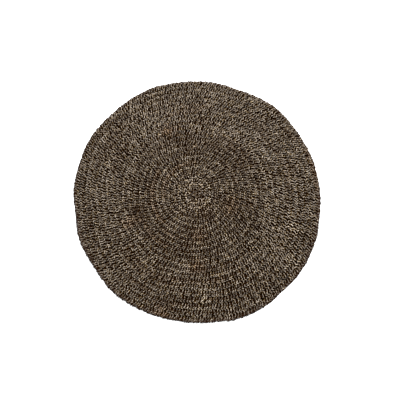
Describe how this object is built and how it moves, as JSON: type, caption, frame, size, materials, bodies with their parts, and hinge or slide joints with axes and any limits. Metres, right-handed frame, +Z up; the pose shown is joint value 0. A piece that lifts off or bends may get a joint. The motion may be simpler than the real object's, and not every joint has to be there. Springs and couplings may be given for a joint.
{
  "type": "round seagrass rug",
  "caption": "Round flat rug crocheted in rounds from dark twisted seagrass cord, with a slightly uneven outline.",
  "frame": {"origin": "under the middle of the rug's bounding box, on the floor", "axes": "+Z up, out of the rug's face; +Y is away from the viewer of the picture and +X is to their right"},
  "size_m": [1.4914, 1.4928, 0.0132],
  "materials": {
    "seagrass": "matte twisted seagrass cord, dark brown and grey with paler strands"
  },
  "bodies": {
    "root": {"rug": "seagrass"}
  },
  "joints": []
}
